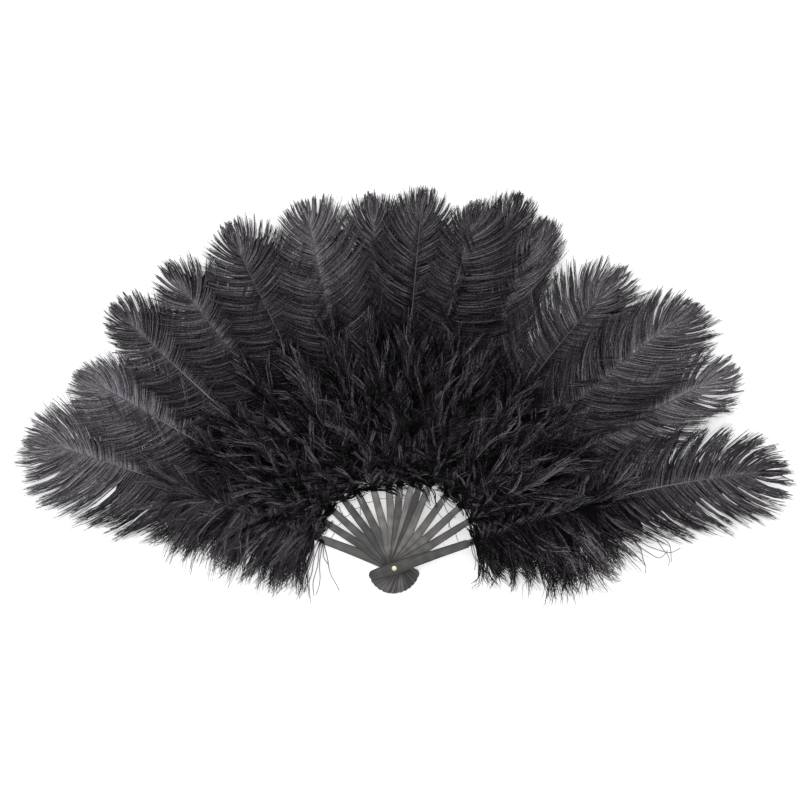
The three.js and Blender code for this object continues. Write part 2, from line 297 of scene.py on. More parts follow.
BARB_MIDDLE = 0.55  # share of a barb's length at the middle point of its curve
SHORTENING = 5.0  # power by which barbs shorten towards the feather's tip
BARB_INPUTS = {
    "Barbs": "Int",  # half of them on each side of the shaft
    "Strands": "Int",  # in a barb
    "Steps": "Int",  # straight stretches in a strand
    "Seed": "Int",
    "Root Start": "Float",  # along the shaft, from the rivet's axis
    "Root End": "Float",
    "Crowding": "Float",  # power by which roots crowd towards the tip
    "Crossing": "Float",  # how far to the other side of the shaft the roots lie
    "Length": "Float",  # longest barb
    "Base Share": "Float",  # of that length, at the first and the last root
    "Tip Share": "Float",
    "Widest": "Float",  # share of the rooted stretch where barbs are longest
    "Least Length": "Float",  # share of its due length that the shortest barb has
    "Left Spread": "Float",  # lengthening on one side
    "Right Spread": "Float",
    "Base Lean": "Float",  # of the barbs from the shaft
    "Tip Lean": "Float",
    "Closing": "Float",  # power by which they close up
    "Left Splay": "Float",  # extra lean on one side at the last root
    "Right Splay": "Float",
    "Least Lean": "Float",  # share of the lean that the straightest barbs have
    "Flow": "Float",  # sway that neighbouring barbs share, and its count along the shaft
    "Flow Turns": "Float",
    "Barb Stray": "Float",  # random lean of a barb, and of a strand in it
    "Strand Stray": "Float",
    "Barb Width": "Float",
    "Barb Depth": "Float",
    "Root Gather": "Float",  # share of that width at the root and at the tip
    "Tip Gather": "Float",
    "Groups": "Float",  # larger bunches on each side, and how far their tips close up
    "Parting": "Float",
    "Parting Delay": "Float",  # power by which they part late along the barbs
    "Left Lift": "Float",  # rise of the barbs from the fan's plane, and its random part
    "Right Lift": "Float",
    "Lift Stray": "Float",
    "Roll Stray": "Float",  # random turn of a barb's bend about itself
    "Bend": "Float",  # of a tip towards the feather's tip, as a share of the length
    "Wave": "Float",  # waviness, as a share of the length, and its count
    "Waves": "Float",
    "Wave Sharing": "Float",  # 0 where each barb waves by itself, 1 where its bunch waves as one
    "Bow": "Float",  # sideways curve of the whole feather
    "Thickness": "Float",  # half the width of a strand
    "Contrast": "Float",  # between barbs, and between the strands of a barb
    "Strand Contrast": "Float",
    "Paleness": "Float",  # of the whole feather, and extra towards its tip
    "Tip Paling": "Float",
    # Painted light and shade at the barbs' roots, on each side of the shaft.
    "Left Painted Root Shading": "Float",  # paleness beside the shaft
    "Right Painted Root Shading": "Float",
    "Angle": "Float",  # of the stave
    "Layer": "Float",  # its height
    "Material": "Material",
}


def barb_tree():
    """Geometry Nodes that grow the barbs of one feather. Returns the tree and its input identifiers."""
    tree = bpy.data.node_groups.new("feather_barbs", "GeometryNodeTree")
    names = {}
    for name, kind in BARB_INPUTS.items():
        socket = tree.interface.new_socket(name, in_out="INPUT", socket_type="NodeSocket" + kind)
        names[name] = socket.identifier
    tree.interface.new_socket("Feather", in_out="OUTPUT", socket_type="NodeSocketGeometry")
    size = add(tree, "NodeGroupInput").outputs

    # Which barb a strand is in, its side of the shaft (1 right, -1 left), its rank along it and the
    # sizes on that side.
    index = add(tree, "GeometryNodeInputIndex")
    barb = add(tree, "FunctionNodeIntegerMath", {0: index, 1: size["Strands"]}, operation="DIVIDE_FLOOR")
    left = add(tree, "FunctionNodeIntegerMath", {0: barb, 1: 2}, operation="MODULO")
    side = add(tree, "ShaderNodeMapRange", {0: left, 3: 1.0, 4: -1.0})
    pair = add(tree, "FunctionNodeIntegerMath", {0: barb, 1: 2}, operation="DIVIDE_FLOOR")
    pairs = add(tree, "ShaderNodeMath", {0: size["Barbs"], 1: 0.5}, operation="MULTIPLY")
    on_side = {}
    for name in ("Spread", "Splay", "Lift", "Painted Root Shading"):
        both = {0: side, 1: -1.0, 3: size["Left " + name], 4: size["Right " + name]}
        on_side[name] = add(tree, "ShaderNodeMapRange", both)

    # Random numbers from -1 to 1, for a barb and for a strand.
    draws = {}
    for offset, draw in enumerate(("place", "lean", "lift", "length", "wave", "tone")):
        seed = add(tree, "FunctionNodeIntegerMath", {0: size["Seed"], 1: offset}, operation="ADD")
        for owner, number in (("barb", barb), ("strand", index)):
            chance = {2: -1.0, 3: 1.0, 7: number, 8: seed}
            chance = add(tree, "FunctionNodeRandomValue", chance, data_type="FLOAT")
            draws[owner, draw] = chance.outputs[1]

    jitter = add(tree, "ShaderNodeMapRange", {0: draws["barb", "place"], 1: -1.0, 3: 0.1, 4: 0.9})
    rank = add(tree, "ShaderNodeMath", {0: pair, 1: jitter}, operation="ADD")
    order = add(tree, "ShaderNodeMapRange", {0: rank, 2: pairs})
    rest = add(tree, "ShaderNodeMath", {0: 1.0, 1: order}, operation="SUBTRACT")
    rest = add(tree, "ShaderNodeMath", {0: rest, 1: size["Crowding"]}, operation="POWER")
    along = add(tree, "ShaderNodeMath", {0: 1.0, 1: rest}, operation="SUBTRACT")

    # Length: short at both ends of the shaft, longest between, and longer on an outer side.
    rise = {0: along, 2: size["Widest"], 3: size["Base Share"]}
    rise = add(tree, "ShaderNodeMapRange", rise, interpolation_type="SMOOTHSTEP")
    fall = add(tree, "ShaderNodeMapRange", {0: along, 1: size["Widest"]})
    fall = add(tree, "ShaderNodeMath", {0: fall, 1: SHORTENING}, operation="POWER")
    fall = add(tree, "ShaderNodeMapRange", {0: fall, 3: 1.0, 4: size["Tip Share"]})
    even = add(tree, "ShaderNodeMath", {0: order, 1: 4.0}, operation="POWER")
    spread = add(tree, "ShaderNodeMapRange", {0: even, 3: on_side["Spread"], 4: 1.0})
    uneven = {0: draws["barb", "length"], 1: -1.0, 3: size["Least Length"], 4: 1.05}
    uneven = add(tree, "ShaderNodeMapRange", uneven)
    ragged = {0: draws["strand", "length"], 1: -1.0, 3: 0.8, 4: 1.0}
    ragged = add(tree, "ShaderNodeMapRange", ragged)
    length = size["Length"]
    for share in (rise, fall, spread, uneven, ragged):
        length = add(tree, "ShaderNodeMath", {0: length, 1: share}, operation="MULTIPLY")

    # Lean: wide at the base, close at the tip, swaying with its neighbours and a little by itself.
    closed = add(tree, "ShaderNodeMath", {0: order, 1: size["Closing"]}, operation="POWER")
    lean = add(tree, "ShaderNodeMapRange", {0: closed, 3: size["Base Lean"], 4: size["Tip Lean"]})
    start = add(tree, "ShaderNodeMath", {0: side, 1: size["Seed"]}, operation="MULTIPLY")
    sway = {0: order, 1: size["Flow Turns"], 2: start}
    sway = add(tree, "ShaderNodeMath", sway, operation="MULTIPLY_ADD")
    sway = {"W": sway, "Scale": 1.0, "Detail": 1.0}
    sway = add(tree, "ShaderNodeTexNoise", sway, noise_dimensions="1D")
    sway = add(tree, "ShaderNodeMapRange", {0: sway, 1: 0.25, 2: 0.75, 3: -1.0})
    lean = {0: on_side["Splay"], 1: order, 2: lean}
    lean = add(tree, "ShaderNodeMath", lean, operation="MULTIPLY_ADD")
    lack = add(tree, "ShaderNodeMapRange", {0: draws["barb", "tone"], 1: -1.0})
    lack = add(tree, "ShaderNodeMath", {0: lack, 1: 2.0}, operation="POWER")
    lack = add(tree, "ShaderNodeMapRange", {0: lack, 3: 1.0, 4: size["Least Lean"]})
    lean = add(tree, "ShaderNodeMath", {0: lean, 1: lack}, operation="MULTIPLY")
    turns = (
        (sway, size["Flow"]),
        (draws["barb", "lean"], size["Barb Stray"]),
        (draws["strand", "lean"], size["Strand Stray"]),
    )
    for amount, turn in turns:
        lean = add(tree, "ShaderNodeMath", {0: amount, 1: turn, 2: lean}, operation="MULTIPLY_ADD")

    # Each strand's root and turn: rolled so that it bends towards the tip, lifted, then leaned.
    root_x = add(tree, "ShaderNodeMath", {0: side, 1: size["Crossing"]}, operation="MULTIPLY")
    root_x = add(tree, "ShaderNodeMath", {0: root_x, 1: -1.0}, operation="MULTIPLY")
    root_y = add(tree, "ShaderNodeMapRange", {0: along, 3: size["Root Start"], 4: size["Root End"]})
    root = add(tree, "ShaderNodeCombineXYZ", {"X": root_x, "Y": root_y})
    half_turn = add(tree, "ShaderNodeMath", {0: left, 1: math.pi}, operation="MULTIPLY")
    roll = {0: draws["barb", "wave"], 1: size["Roll Stray"], 2: half_turn}
    roll = add(tree, "ShaderNodeMath", roll, operation="MULTIPLY_ADD")
    lift = {0: draws["barb", "lift"], 1: size["Lift Stray"], 2: on_side["Lift"]}
    lift = add(tree, "ShaderNodeMath", lift, operation="MULTIPLY_ADD")
    dip = add(tree, "ShaderNodeMath", {0: lift, 1: -1.0}, operation="MULTIPLY")
    turned = add(tree, "ShaderNodeMath", {0: side, 1: lean}, operation="MULTIPLY")
    heading = add(tree, "ShaderNodeMath", {0: math.pi / 2, 1: turned}, operation="SUBTRACT")
    rotation = add(tree, "ShaderNodeCombineXYZ", {"X": roll, "Y": dip, "Z": heading})

    # A strand's place across its barb, and the pull of its bunch.
    half = add(tree, "ShaderNodeMath", {0: size["Barb Width"], 1: 0.5}, operation="MULTIPLY")
    beside = add(tree, "ShaderNodeMath", {0: draws["strand", "place"], 1: half}, operation="MULTIPLY")
    half = add(tree, "ShaderNodeMath", {0: size["Barb Depth"], 1: 0.5}, operation="MULTIPLY")
    above = add(tree, "ShaderNodeMath", {0: draws["strand", "lift"], 1: half}, operation="MULTIPLY")
    group = {0: order, 1: size["Groups"], 2: start}
    group = add(tree, "ShaderNodeMath", group, operation="MULTIPLY_ADD")
    swell = {"W": group, "Scale": 0.4, "Detail": 1.0}
    swell = add(tree, "ShaderNodeTexNoise", swell, noise_dimensions="1D")
    group = add(tree, "ShaderNodeMath", {0: swell, 1: 2.0, 2: group}, operation="MULTIPLY_ADD")
    bunch = add(tree, "ShaderNodeMath", {0: group}, operation="FLOOR")
    group = add(tree, "ShaderNodeMath", {0: group}, operation="FRACT")
    group = add(tree, "ShaderNodeMath", {0: 0.5, 1: group}, operation="SUBTRACT")
    stretch = {0: size["Root End"], 1: size["Root Start"]}
    stretch = add(tree, "ShaderNodeMath", stretch, operation="SUBTRACT")
    stretch = add(tree, "ShaderNodeMath", {0: stretch, 1: size["Groups"]}, operation="DIVIDE")
    stretch = add(tree, "ShaderNodeMath", {0: stretch, 1: size["Parting"]}, operation="MULTIPLY")
    loose = add(tree, "ShaderNodeMapRange", {0: sway, 1: -0.3, 2: 0.6, 4: 1.6})
    pull = add(tree, "ShaderNodeMath", {0: group, 1: stretch}, operation="MULTIPLY")
    pull = add(tree, "ShaderNodeMath", {0: pull, 1: loose}, operation="MULTIPLY")
    axes = {
        axis: add(
            tree,
            "ShaderNodeVectorRotate",
            {"Vector": vector, "Rotation": rotation},
            rotation_type="EULER_XYZ",
        )
        for axis, vector in (("across", (0, 1, 0)), ("up", (0, 0, 1)))
    }

    # Painted shade between barbs: a strand is darker towards the edges of its barb.
    edge = add(tree, "ShaderNodeMath", {0: draws["strand", "place"]}, operation="ABSOLUTE")
    tone = 0.0
    weights = (
        (edge, -0.6),
        (draws["barb", "tone"], size["Contrast"]),
        (draws["strand", "tone"], size["Strand Contrast"]),
    )
    for draw, weight in weights:
        tone = add(tree, "ShaderNodeMath", {0: draw, 1: weight, 2: tone}, operation="MULTIPLY_ADD")
    tone = add(tree, "ShaderNodeMapRange", {0: tone, 1: -1.9, 2: 1.2})
    tone = add(tree, "ShaderNodeMath", {0: tone, 1: size["Paleness"]}, operation="ADD")
    paling = add(tree, "ShaderNodeMath", {0: along, 1: 0.6}, operation="SUBTRACT")
    tone = {0: paling, 1: size["Tip Paling"], 2: tone}
    tone = add(tree, "ShaderNodeMath", tone, operation="MULTIPLY_ADD")
    # Painted light and shade at the roots: given for each side, paler towards the tip, and a little
    # random.
    painted_root_shading = on_side["Painted Root Shading"]
    for draw, weight in ((paling, size["Tip Paling"]), (draws["barb", "tone"], 0.16)):
        painted_root_shading = {0: draw, 1: weight, 2: painted_root_shading}
        painted_root_shading = add(tree, "ShaderNodeMath", painted_root_shading, operation="MULTIPLY_ADD")

    # The strands, as curves that carry what their shape and colour need.
    drift = add(tree, "ShaderNodeMath", {0: draws["strand", "wave"], 1: 0.25}, operation="MULTIPLY")
    own = add(tree, "ShaderNodeMath", {0: draws["barb", "wave"], 1: 50.0}, operation="MULTIPLY")
    shared = add(tree, "ShaderNodeMath", {0: bunch, 1: 7.3}, operation="MULTIPLY")
    phase = add(tree, "ShaderNodeMapRange", {0: size["Wave Sharing"], 3: own, 4: shared})
    phase = add(tree, "ShaderNodeMath", {0: phase, 1: drift}, operation="ADD")
    count = {0: size["Barbs"], 1: size["Strands"]}
    count = add(tree, "FunctionNodeIntegerMath", count, operation="MULTIPLY")
    strands = add(tree, "GeometryNodePoints", {"Count": count, "Position": root})
    carried = {
        "tone": tone,
        "painted_root_shading": painted_root_shading,
        "phase": phase,
        "strand_length": length,
        "beside": beside,
        "above": above,
        "pull": pull,
    }
    for name, value in carried.items():
        kept = {"Geometry": strands, "Name": name, "Value": value}
        strands = add(tree, "GeometryNodeStoreNamedAttribute", kept)
    for name, value in axes.items():
        kept = {"Geometry": strands, "Name": name, "Value": value}
        strands = add(tree, "GeometryNodeStoreNamedAttribute", kept, data_type="FLOAT_VECTOR")
    tip = add(tree, "ShaderNodeCombineXYZ", {"X": 1.0, "Y": size["Bend"]})
    shape = {"Start": (0, 0, 0), "Middle": (BARB_MIDDLE, 0, 0), "End": tip, "Resolution": size["Steps"]}
    shape = add(tree, "GeometryNodeCurveQuadraticBezier", shape)
    placed = {"Points": strands, "Instance": shape, "Rotation": rotation, "Scale": length}
    strands = add(tree, "GeometryNodeInstanceOnPoints", placed)
    strands = add(tree, "GeometryNodeRealizeInstances", {"Geometry": strands})

    # Across its barb a strand swells from the root and closes at the tip; its bunch pulls it over.
    way = add(tree, "GeometryNodeSplineParameter").outputs["Factor"]
    have = {name: add(tree, "GeometryNodeInputNamedAttribute", {"Name": name}) for name in carried}
    swell = add(tree, "ShaderNodeMapRange", {0: way, 2: 0.35, 3: size["Root Gather"]})
    close = add(tree, "ShaderNodeMapRange", {0: way, 1: 0.5, 3: 1.0, 4: size["Tip Gather"]})
    ribbon = add(tree, "ShaderNodeMath", {0: swell, 1: close}, operation="MULTIPLY")
    late = add(tree, "ShaderNodeMath", {0: way, 1: size["Parting Delay"]}, operation="POWER")
    pulled = add(tree, "ShaderNodeMath", {0: have["pull"], 1: late}, operation="MULTIPLY")
    beside = {0: have["beside"], 1: ribbon, 2: pulled}
    beside = add(tree, "ShaderNodeMath", beside, operation="MULTIPLY_ADD")
    above = add(tree, "ShaderNodeMath", {0: have["above"], 1: ribbon}, operation="MULTIPLY")
    offsets = []
    for name, amount in (("across", beside), ("up", above)):
        axis = add(tree, "GeometryNodeInputNamedAttribute", {"Name": name}, data_type="FLOAT_VECTOR")
        offsets.append(add(tree, "ShaderNodeVectorMath", {0: axis, "Scale": amount}, operation="SCALE"))

    # Waves grow towards the tip and are shared by a barb; the whole feather bows sideways.
    ripples = add(tree, "ShaderNodeMath", {0: way, 1: size["Waves"]}, operation="MULTIPLY")
    ripple_place = {"X": ripples, "Y": have["phase"], "Z": size["Seed"]}
    ripple_place = add(tree, "ShaderNodeCombineXYZ", ripple_place)
    ripple = add(tree, "ShaderNodeTexNoise", {"Vector": ripple_place, "Scale": 1.0, "Detail": 1.0})
    ripple = {0: ripple.outputs["Color"], 1: (0.5, 0.5, 0.5)}
    ripple = add(tree, "ShaderNodeVectorMath", ripple, operation="SUBTRACT")
    height = size["Wave"]
    for share in (way, have["strand_length"]):
        height = add(tree, "ShaderNodeMath", {0: height, 1: share}, operation="MULTIPLY")
    offsets.append(add(tree, "ShaderNodeVectorMath", {0: ripple, "Scale": height}, operation="SCALE"))
    here = add(tree, "ShaderNodeSeparateXYZ", {0: add(tree, "GeometryNodeInputPosition")})
    out = {0: here.outputs["Y"], 1: size["Root Start"], 2: size["Root End"]}
    out = add(tree, "ShaderNodeMapRange", out, clamp=False)
    out = add(tree, "ShaderNodeMath", {0: out, 1: 0.0}, operation="MAXIMUM")
    out = add(tree, "ShaderNodeMath", {0: out, 1: 2.0}, operation="POWER")
    bow = add(tree, "ShaderNodeMath", {0: out, 1: size["Bow"]}, operation="MULTIPLY")
    offset = add(tree, "ShaderNodeCombineXYZ", {"X": bow})
    for part in offsets:
        offset = add(tree, "ShaderNodeVectorMath", {0: offset, 1: part}, operation="ADD")
    strands = add(tree, "GeometryNodeSetPosition", {"Geometry": strands, "Offset": offset})

    # On to the stave, clear of the table and no higher than the fan's bulk.
    turn = add(tree, "ShaderNodeMath", {0: size["Angle"], 1: -1.0}, operation="MULTIPLY")
    turn = add(tree, "ShaderNodeCombineXYZ", {"Z": turn})
    layer = add(tree, "ShaderNodeCombineXYZ", {"Z": size["Layer"]})
    placed = {"Geometry": strands, "Rotation": turn, "Translation": layer}
    strands = add(tree, "GeometryNodeTransform", placed)
    position = add(tree, "GeometryNodeInputPosition")
    for limit, operation in (((-1, -1, TABLE_CLEARANCE), "MAXIMUM"), ((1, 1, HIGHEST), "MINIMUM")):
        position = add(tree, "ShaderNodeVectorMath", {0: position, 1: limit}, operation=operation)
    strands = add(tree, "GeometryNodeSetPosition", {"Geometry": strands, "Position": position})

    # Thin three-sided threads that taper to their tips.
    for name in ("phase", "strand_length", "beside", "above", "pull", "across", "up"):
        strands = add(tree, "GeometryNodeRemoveAttribute", {"Geometry": strands, "Name": name})
    kept = {"Geometry": strands, "Name": "way", "Value": way}
    strands = add(tree, "GeometryNodeStoreNamedAttribute", kept)
    taper = add(tree, "ShaderNodeMapRange", {0: way, 1: 0.5, 3: 1.0, 4: 0.45})
    width = add(tree, "ShaderNodeMath", {0: size["Thickness"], 1: taper}, operation="MULTIPLY")
    section = add(tree, "GeometryNodeCurvePrimitiveCircle", {"Resolution": 3, "Radius": 1.0})
    threads = {"Curve": strands, "Profile Curve": section, "Scale": width, "Fill Caps": True}
    threads = add(tree, "GeometryNodeCurveToMesh", threads)
    threads = add(tree, "GeometryNodeSetShadeSmooth", {"Geometry": threads})
    threads = add(tree, "GeometryNodeRealizeInstances", {"Geometry": threads})
    threads = add(tree, "GeometryNodeSetMaterial", {"Geometry": threads, "Material": size["Material"]})
    add(tree, "NodeGroupOutput", {0: threads})
    return tree, names


BARB_TREE, BARB_NAMES = barb_tree()


def grown(name, sizes):
    """A feather's barbs as a plain mesh object."""
    source = show(name + "_grower", bpy.data.meshes.new(name + "_grower"))
    modifier = source.modifiers.new("barbs", "NODES")
    modifier.node_group = BARB_TREE
    for size, value in sizes.items():
        modifier[BARB_NAMES[size]] = value
    evaluated = source.evaluated_get(bpy.context.evaluated_depsgraph_get())
    mesh = bpy.data.meshes.new_from_object(evaluated)
    source.modifiers.remove(modifier)
    bpy.data.objects.remove(source)
    mesh.name = name
    return show(name, mesh)


def on_stave(piece, stave, node):
    """A feather rides on its stave and stands for its solid."""
    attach(piece, stave)
    if node:
        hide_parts(node)
    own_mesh(piece)


def tube(name, points, radii, sides, material):
    """A closed round tube along points, with a radius at each, as a mesh object."""
    vertices, faces = [], []
    for i, (point, radius) in enumerate(zip(points, radii)):
        ahead = points[min(i + 1, len(points) - 1)] - points[max(i - 1, 0)]
        across = ahead.cross(Vector((0, 0, 1))).normalized()
        up = across.cross(ahead).normalized()
        for k in range(sides):
            turn = 2 * math.pi * k / sides
            vertices.append(point + radius * (math.cos(turn) * across + math.sin(turn) * up))
    for i in range(len(points) - 1):
        for k in range(sides):
            a, b = i * sides + k, i * sides + (k + 1) % sides
            faces.append((a, a + sides, b + sides, b))
    faces.append(tuple(range(sides)))
    faces.append(tuple(reversed(range(len(vertices) - sides, len(vertices)))))
    mesh = bpy.data.meshes.new(name)
    mesh.from_pydata(vertices, [], faces)
    ways = [i // sides / (len(points) - 1) for i in range(len(vertices))]
    mesh.attributes.new("way", "FLOAT", "POINT").data.foreach_set("value", ways)
    mesh.materials.append(material)
    mesh.shade_smooth()
    return show(name, mesh)


def felt(name, rows, angle, z, material):
    """A thin closed sheet on a stave, through rows of a left and a right point, as a mesh object."""
    THICKNESS = 0.12 * MM
    turn = Matrix.Rotation(-angle, 3, "Z")
    vertices, faces = [], []
    for left, right in rows:
        for rise in (0, THICKNESS):
            for x, y in (left, right):
                vertices.append(turn @ Vector((x, y, z + rise)))
    for a in range(0, 4 * (len(rows) - 1), 4):
        b = a + 4
        faces += [(a, b, b + 1, a + 1), (a + 2, a + 3, b + 3, b + 2)]
        faces += [(a, a + 2, b + 2, b), (a + 1, b + 1, b + 3, a + 3)]
    last = len(vertices) - 4
    faces += [(0, 1, 3, 2), (last, last + 2, last + 3, last + 1)]
    mesh = bpy.data.meshes.new(name)
    mesh.from_pydata(vertices, [], faces)
    mesh.materials.append(material)
    return show(name, mesh)


BARB_STOPS = [(0.0, "030303"), (0.35, "252225"), (0.7, "5b575c"), (1.0, "959097")]
DOWN_STOPS = [(0.15, "010101"), (0.42, "0e0c0e"), (0.66, "464247"), (0.95, "8f8991")]
# Painted root shading fades out between root and fade along a barb: a pale band by a plume's shaft, dark
# roots in the down.
PLUME_BARBS = dyed_barbs("black_ostrich_barbs", BARB_STOPS, root=0.03, fade=0.16)
TUFT_BARBS = dyed_barbs("black_ostrich_down", DOWN_STOPS, root=0.08, fade=0.55)
BARE_QUILL = quill_keratin("dyed_quill_keratin", 0.7)
FLUFFY_QUILL = quill_keratin("black_quill_keratin", 0.3)
SHADE_FELT = barbule_shade_felt()

STAVE_END = reach("stave_02")

# Inputs of the tree that a plume's felt follows too.
PLUME_CROWDING = 1.35
PLUME_CLOSING = 5.0
PLUME_BEND = 0.3

# One row for each plume: how far its tip bows to the right, its longest barbs and the barbs at its tip
# in millimetres, the lean of its barbs and the lift of its left and of its right barbs in degrees, and
# how much paler it is than the rest, which is painted light and shade. A plume with a high right side
# lies over the next one.
PLUMES = [
    (-6, 76, 30, 74, 3, 0.5, 0.1),
    (-7, 63, 28, 76, 3, 1, 0.12),
    (1, 60, 24, 80, 3, 0.5, -0.04),
    (-2, 62, 34, 86, 3, 0.5, -0.05),
    (1, 68, 28, 88, 3, 2, -0.08),
    (7, 62, 18, 80, 3, 6, 0.03),
    (2, 58, 24, 74, 0, 0, -0.04),
    (3, 58, 26, 74, 4, 1, -0.1),
    (7, 60, 26, 92, 2, 7, -0.11),
    (7, 58, 24, 64, -3, 1, -0.1),
    (4, 62, 24, 46, -2, 3, 0.02),
    (8, 68, 38, 76, 2, 0.5, 0),
    (10, 66, 22, 62, 3, 6, 0.04),
    (9, 62, 26, 62, 0, 0.5, 0.14),
    (25, 72, 30, 68, 3, 0.5, 0),
]

# Plumes that are wider or narrower on their left or right.
SPREADS = {
    0: (1.1, 1.0),
    2: (0.75, 1.0),
    3: (0.75, 1.0),
    4: (0.75, 1.0),
    5: (0.85, 1.0),
    8: (0.55, 1.05),
    12: (1.0, 1.25),
}

# Plumes whose barbs keep together in bunches: how many on each side, how far these close up, and how
# much they wave. LOOSE_BARBS is for the others.
BUNCHES = {
    0: (22.0, 1.0, 0.24),
    2: (34.0, 0.8, 0.14),
    3: (30.0, 0.8, 0.14),
    4: (42.0, 0.8, 0.1),
    5: (36.0, 0.9, 0.1),
    8: (60.0, 0.4, 0.1),
    11: (24.0, 0.9, 0.22),
    12: (36.0, 0.8, 0.12),
    13: (20.0, 1.0, 0.24),
    14: (18.0, 1.0, 0.24),
}
LOOSE_BARBS = (34.0, 0.55, 0.16)
OPEN_ALL_ROUND = (0, 13, 14)  # plumes that show the table between their bunches
OPEN_ON_THE_LEFT = (2, 3, 4, 5, 11, 12)
# DULL_SHAFTS takes painted light away from beside the shafts of these plumes.
DULL_SHAFTS = {4: 0.15, 7: 0.25, 9: 0.1, 11: 0.25}  # how much darker the barbs' roots are


def make_plume(i):
    """The long plume of stave i: barbs on both sides of a bowed quill."""
    BARE = 20 * MM  # stretch of the quill between the stave and the first barbs
    # Painted light and shade beside the shaft: paler on the side of a plume that faces the light.
    SHADED, LIT = 0.62, 0.74  # paleness of the barbs' roots
    number = NUMBERS[i]
    node = f"plume_{number}"
    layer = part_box(node)[0].z
    tip = reach(node)
    bow, longest, tip_barb, lean, left_lift, right_lift, paleness = PLUMES[i]
    root_start = STAVE_END + BARE
    root_end = tip - tip_barb * MM
    angle = stave_angle(STAVES[i])
    spreads = SPREADS.get(i, (1.0, 1.0))
    together = i in BUNCHES
    bunches, parting, wave = BUNCHES.get(i, LOOSE_BARBS)
    lit_and_shaded_roots = (SHADED, LIT) if i < STAVE_COUNT / 2 else (LIT, SHADED)
    left_root_shading, right_root_shading = (tone + paleness - DULL_SHAFTS.get(i, 0) for tone in lit_and_shaded_roots)
    piece = grown(
        f"plume_barbs_{number}",
        {
            "Barbs": 340,
            "Strands": 5,
            "Steps": 5,
            "Seed": 100 + 10 * i,
            "Root Start": root_start,
            "Root End": root_end,
            "Crowding": PLUME_CROWDING,
            "Crossing": 0.2 * MM,
            "Length": longest * MM,
            "Base Share": 0.8,
            "Tip Share": 1.05 * tip_barb / longest,
            "Widest": 0.4,
            "Least Length": 0.82,
            "Left Spread": spreads[0],
            "Right Spread": spreads[1],
            "Base Lean": lean * DEGREE,
            "Tip Lean": 3 * DEGREE,
            "Closing": PLUME_CLOSING,
            "Left Splay": 8 * DEGREE if i == 0 else 0.0,
            "Right Splay": 8 * DEGREE if i == LAST else 0.0,
            "Least Lean": 1.0,
            "Flow": 5 * DEGREE,
            "Flow Turns": 6.0,
            "Barb Stray": (1 if together else 3.4) * DEGREE,
            "Strand Stray": (1.4 if together else 2.4) * DEGREE,
            "Barb Width": 1.1 * MM,
            "Barb Depth": 1.2 * MM,
            "Root Gather": 1.0,
            "Tip Gather": 0.6,
            "Groups": bunches,
            "Parting": parting,
            "Parting Delay": 2.0 if together else 4.0,
            "Left Lift": left_lift * DEGREE,
            "Right Lift": right_lift * DEGREE,
            "Lift Stray": 0.5 * DEGREE,
            "Roll Stray": 0.2,
            "Bend": PLUME_BEND,
            "Wave": wave,
            "Waves": 2.0,
            "Wave Sharing": 1.0 if together else 0.0,
            "Bow": bow * MM,
            "Thickness": 0.42 * MM,
            "Contrast": 0.3,
            "Strand Contrast": 0.8,
            "Paleness": paleness,
            "Tip Paling": 0.2 if i == LAST else 0.4,
            "Left Painted Root Shading": left_root_shading,
            "Right Painted Root Shading": right_root_shading,
            "Angle": angle,
            "Layer": layer,
            "Material": PLUME_BARBS,
        },
    )
    on_stave(piece, STAVES[i], node)
    make_quill(i, angle, layer, root_start, root_end)
    make_plume_shade_felt(i, angle, layer, root_start, root_end)


def make_quill(i, angle, layer, root_start, root_end):
    """The bare quill in the stave's slot and the shaft that tapers to the plume's tip."""
    STATIONS = 28
    WIDEST, TIP = 1.0 * MM, 0.35 * MM  # radius
    IN_SLOT = 31 * MM
    PAST_BARBS = 12 * MM  # from the last barbs' roots to the tip
    CLEAR = 0.3 * MM  # above the slot's floor
    CLIMB = 75 * MM  # stretch over which it climbs to its height
    bare = i in (0, 1, 2, LAST)
    height = 1.2 * MM if bare else 0.5 * MM  # over the barbs, or among them
    bow = PLUMES[i][0] * MM
    quill_start = STAVE_END - IN_SLOT
    points, radii = [], []
    for k in range(STATIONS):
        share = k / (STATIONS - 1)
        y = quill_start + (root_end + PAST_BARBS - quill_start) * share
        out = max(0, (y - root_start) / (root_end - root_start))
        rise = min(1, max(0, (y - quill_start) / CLIMB))
        points.append(Vector((bow * out * out, y, layer + CLEAR + height * rise)))
        radii.append(WIDEST + (TIP - WIDEST) * share**0.8)
    turn = Matrix.Rotation(-angle, 3, "Z")
    finish = BARE_QUILL if bare else FLUFFY_QUILL
    shaft = tube(f"plume_shaft_{NUMBERS[i]}", [turn @ p for p in points], radii, 6, finish)
    on_stave(shaft, STAVES[i], None)


